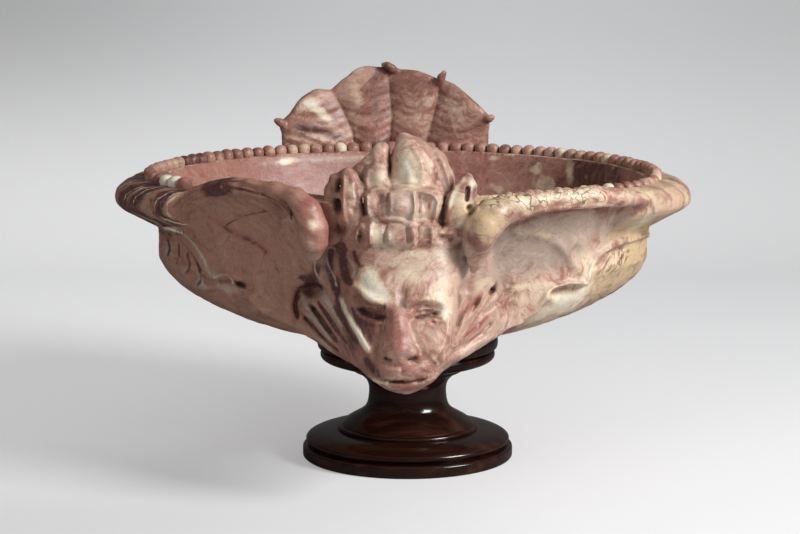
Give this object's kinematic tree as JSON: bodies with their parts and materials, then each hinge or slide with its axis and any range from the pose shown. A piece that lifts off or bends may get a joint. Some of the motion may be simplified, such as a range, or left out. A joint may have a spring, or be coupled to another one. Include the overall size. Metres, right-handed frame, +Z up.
{
  "type": "basin",
  "caption": "Deep stone basin carved as a winged beast: beaded rim, head at the front, wings round the sides, tail fan behind, on a turned wooden stand.",
  "frame": {"origin": "middle of the stand's flat underside, on its turning axis", "axes": "+Z up, -Y towards the beast's head at the front, +X to the right for someone facing the head"},
  "size_m": [0.6, 0.5595, 0.3988],
  "materials": {
    "marble": "polished breccia marble",
    "stand_wood": "dark polished"
  },
  "bodies": {
    "root": {"bowl": "marble", "rim_flange": "marble", "bead_moulding": "marble", "beast_head": "marble", "hood_crest": "marble", "left_ear": "marble", "right_ear": "marble", "left_neck_fold": "marble", "right_neck_fold": "marble", "left_wing_membrane": "marble", "right_wing_membrane": "marble", "left_wing_arm": "marble", "right_wing_arm": "marble", "tail_fan": "marble", "collar": "stand_wood", "stem": "stand_wood", "foot": "stand_wood", "plinth": "stand_wood"}
  },
  "joints": []
}
